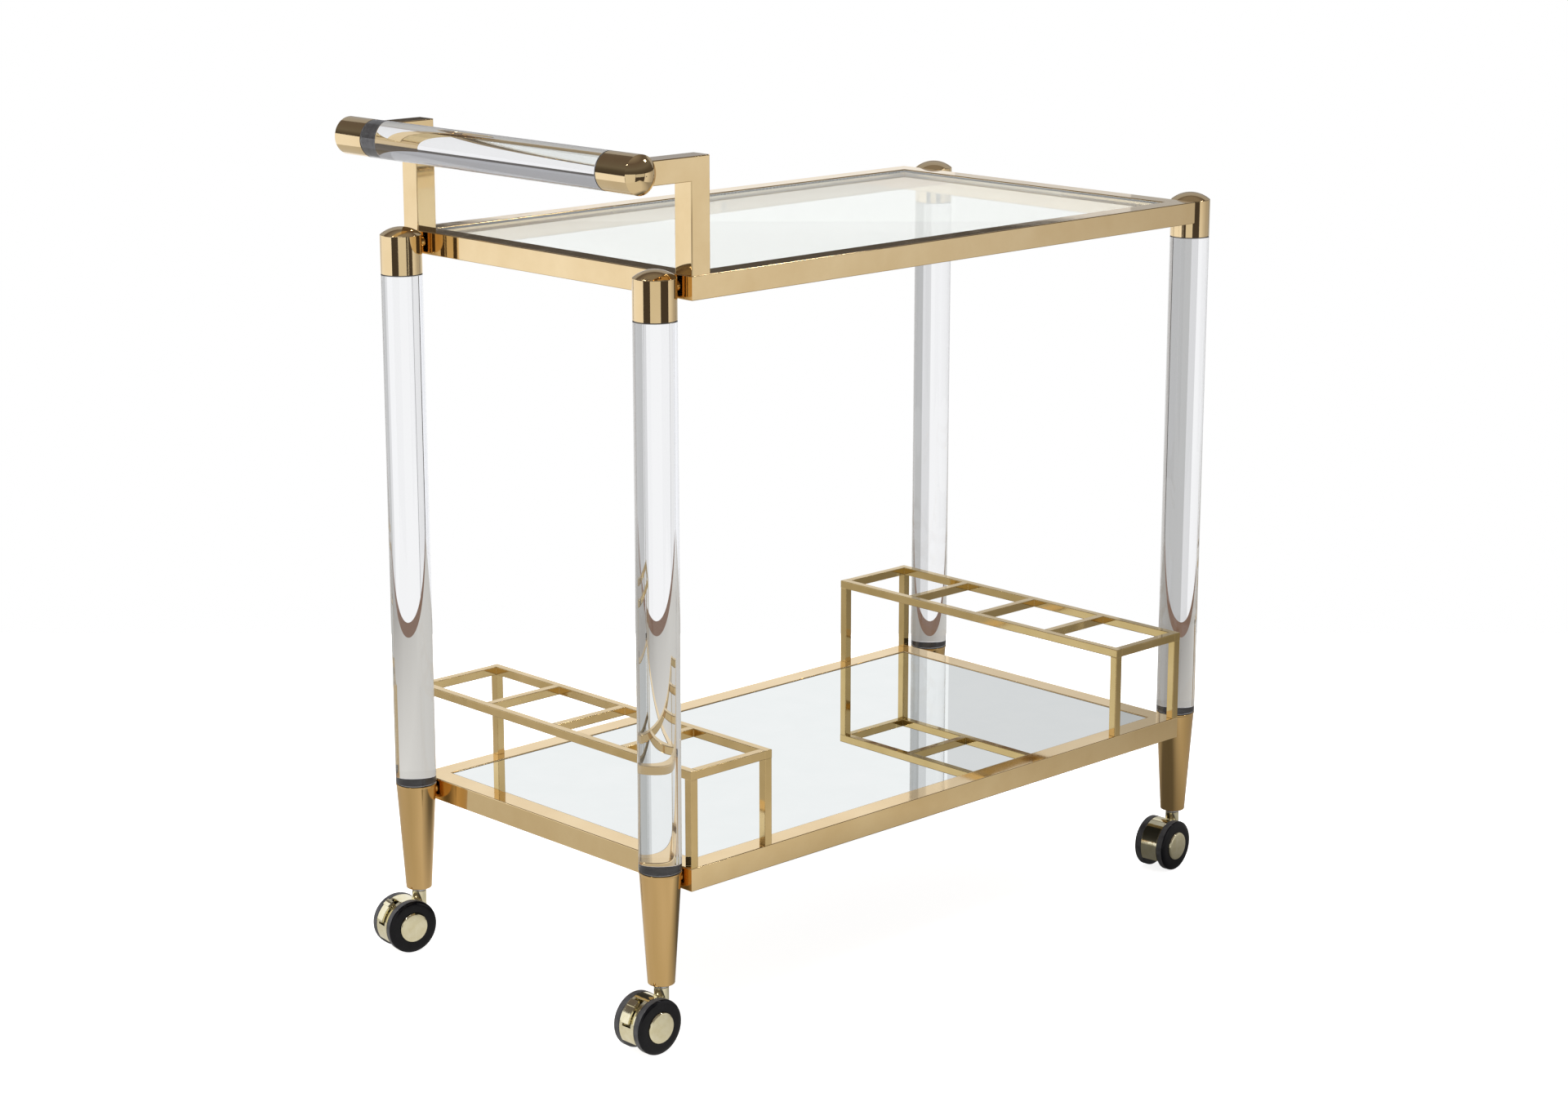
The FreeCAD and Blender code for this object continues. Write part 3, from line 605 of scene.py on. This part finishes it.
def cards():
    """Walls that the plating and the clear rods show: back, left, right, behind the camera and higher up."""
    for name, start, end, colour in BACK_PANELS:
        card(name, (start, BACK_DEPTH), (end, BACK_DEPTH), colour, skirting=BROWN)
    foot, top = UPPER_WALL
    ends = (BACK_LEFT, BACK_DEPTH), (BACK_RIGHT, BACK_DEPTH)
    card("card_back_high", *ends, GREY, foot=foot, tops=(top, top))
    # The left side's top edge climbs as it runs away from the camera.
    card("card_left_near", (LEFT_REACH, -1.28), (LEFT_REACH, -0.28), CREAM, tops=(0.62, 0.65))
    card("card_left_middle", (LEFT_REACH, -0.28), (LEFT_REACH, 0.30), CREAM, tops=(0.65, 1.05))
    card("card_left_far", (LEFT_REACH, 0.30), (LEFT_REACH, 0.98), CREAM, tops=(1.05, 1.05))
    card("card_right", (RIGHT_REACH, -0.80), (RIGHT_REACH, 0.98), (0.82, 0.81, 0.80), (0.50, 0.48, 0.46))
    card("card_front", (-0.60, FRONT_DEPTH), (0.66, FRONT_DEPTH), (0.78, 0.77, 0.74))
    # Above the dark gaps beside the front card, so that the mirror stays bright from behind the cart.
    foot, top = HIGH_CARDS
    card("card_high_left", (-1.55, -1.30), (-0.62, -1.58), PALE, foot=foot, tops=(top, top))
    card("card_high_right", (0.68, -1.58), (1.48, -0.85), PALE, foot=foot, tops=(top, top))


def pale_floor():
    """White to the camera, and a softer grey in what the cart mirrors and bends."""
    f = Finish("pale_floor_finish")
    # The grey deepens towards the far right, and the light fades a little towards the left.
    grey = f.tint(f.along(RIGHT * 0.75 + AWAY * 0.66), (0.73, 0.71, 0.67), (0.34, 0.325, 0.305), 0.1, 0.9)
    left_fade = f.spread(f.along(RIGHT), 0.83, 1.0, -0.60, -0.15)
    scale = (1 / SHADOW_REACH[0], 1 / SHADOW_REACH[1], 0.0)
    shift = (-SHADOW_MIDDLE[0] * scale[0], -SHADOW_MIDDLE[1] * scale[1], 0.0)
    plan = f.add("ShaderNodeMapping", {"Vector": f.place, "Scale": scale, "Location": shift}).outputs[0]
    from_middle = f.add("ShaderNodeVectorMath", {0: plan}, operation="LENGTH").outputs["Value"]
    shade = f.spread(from_middle, SHADOW_LIGHT, 1.0, SHADOW_CORE, 1.0)
    seen_in_cart = f.add("ShaderNodeEmission", {"Color": grey, "Strength": f.times(shade, left_fade)})
    lit = f.add("ShaderNodeBsdfDiffuse", {"Color": (0.92, 0.92, 0.92, 1)})
    lift = f.add("ShaderNodeEmission", {"Color": (1, 1, 1, 1), "Strength": 0.84})
    seen_by_camera = f.add("ShaderNodeAddShader", {0: lit.outputs[0], 1: lift.outputs[0]})
    path = f.add("ShaderNodeLightPath")
    f.show(f.blended(path.outputs["Is Camera Ray"], seen_in_cart, seen_by_camera).outputs[0])
    plan_corners = ((LEFT_REACH, FRONT_DEPTH), (RIGHT_REACH, FRONT_DEPTH),
                    (RIGHT_REACH, BACK_DEPTH), (LEFT_REACH, BACK_DEPTH))
    stage_mesh("pale_floor", [RIGHT * reach + AWAY * depth for reach, depth in plan_corners], f.material)


def studio_air():
    """White behind everything the camera sees, and a dim room in what the cart mirrors."""
    world = bpy.data.worlds.new("studio_air")
    bpy.context.scene.world = world
    world.use_nodes = True
    tree = world.node_tree
    tree.nodes.clear()
    coords = tree.nodes.new("ShaderNodeTexCoord")
    split = tree.nodes.new("ShaderNodeSeparateXYZ")
    ramp = tree.nodes.new("ShaderNodeValToRGB")
    room = tree.nodes.new("ShaderNodeBackground")
    white = tree.nodes.new("ShaderNodeBackground")
    path = tree.nodes.new("ShaderNodeLightPath")
    mix = tree.nodes.new("ShaderNodeMixShader")
    output = tree.nodes.new("ShaderNodeOutputWorld")
    tree.links.new(coords.outputs["Generated"], split.inputs[0])
    tree.links.new(split.outputs["Z"], ramp.inputs[0])
    tree.links.new(ramp.outputs[0], room.inputs["Color"])
    tree.links.new(path.outputs["Is Camera Ray"], mix.inputs[0])
    tree.links.new(room.outputs[0], mix.inputs[1])
    tree.links.new(white.outputs[0], mix.inputs[2])
    tree.links.new(mix.outputs[0], output.inputs["Surface"])
    white.inputs["Color"].default_value = (1, 1, 1, 1)
    while len(ramp.color_ramp.elements) < len(ROOM_LIGHT):
        ramp.color_ramp.elements.new(0.5)
    for element, (position, colour) in zip(ramp.color_ramp.elements, ROOM_LIGHT):
        element.position = position
        element.color = (*colour, 1)


def softbox(name, reach, depth, height, width, length, power, mirrored):
    """Overhead lamp aimed at the middle of the cart, which its plating shows only if mirrored."""
    data = bpy.data.lights.new(name, "AREA")
    data.shape = "RECTANGLE"
    data.size = width
    data.size_y = length
    data.energy = power
    lamp = bpy.data.objects.new(name, data)
    lamp.location = RIGHT * reach + AWAY * depth + Vector((0, 0, height))
    lamp.rotation_mode = "QUATERNION"
    lamp.rotation_quaternion = (CENTRE - lamp.location).to_track_quat("-Z", "Y")
    lamp.visible_camera = False
    lamp.visible_glossy = mirrored
    bpy.context.scene.collection.objects.link(lamp)


def softboxes():
    """Two small lamps that sparkle in the plating, and a wide one that lights everything evenly."""
    softbox("key_softbox", reach=-1.3, depth=-0.9, height=2.2, width=0.30, length=0.22,
            power=7, mirrored=True)
    softbox("fill_softbox", reach=1.45, depth=0.1, height=1.9, width=0.25, length=0.20,
            power=3, mirrored=True)
    softbox("top_softbox", reach=0.0, depth=0.0, height=2.6, width=2.4, length=2.4,
            power=38, mirrored=False)


def photo_camera():
    """Camera at the photograph's viewing angle, aimed near the middle of the cart's box."""
    data = bpy.data.cameras.new("camera")
    data.lens = CAMERA_LENS
    data.sensor_width = SENSOR_WIDTH
    data.clip_start = 0.05
    data.clip_end = 50.0
    camera = bpy.data.objects.new("camera", data)
    back = -AWAY * math.cos(CAMERA_ELEVATION) + Vector((0, 0, math.sin(CAMERA_ELEVATION)))
    camera.location = CENTRE + CAMERA_AIM + back * CAMERA_DISTANCE
    camera.rotation_mode = "QUATERNION"
    camera.rotation_quaternion = (-back).to_track_quat("-Z", "Y")
    bpy.context.scene.collection.objects.link(camera)
    bpy.context.scene.camera = camera


paint_nodes()
clear_rods()
wheels()
cards()
pale_floor()
studio_air()
softboxes()
photo_camera()
bpy.context.scene.view_settings.view_transform = "Standard"
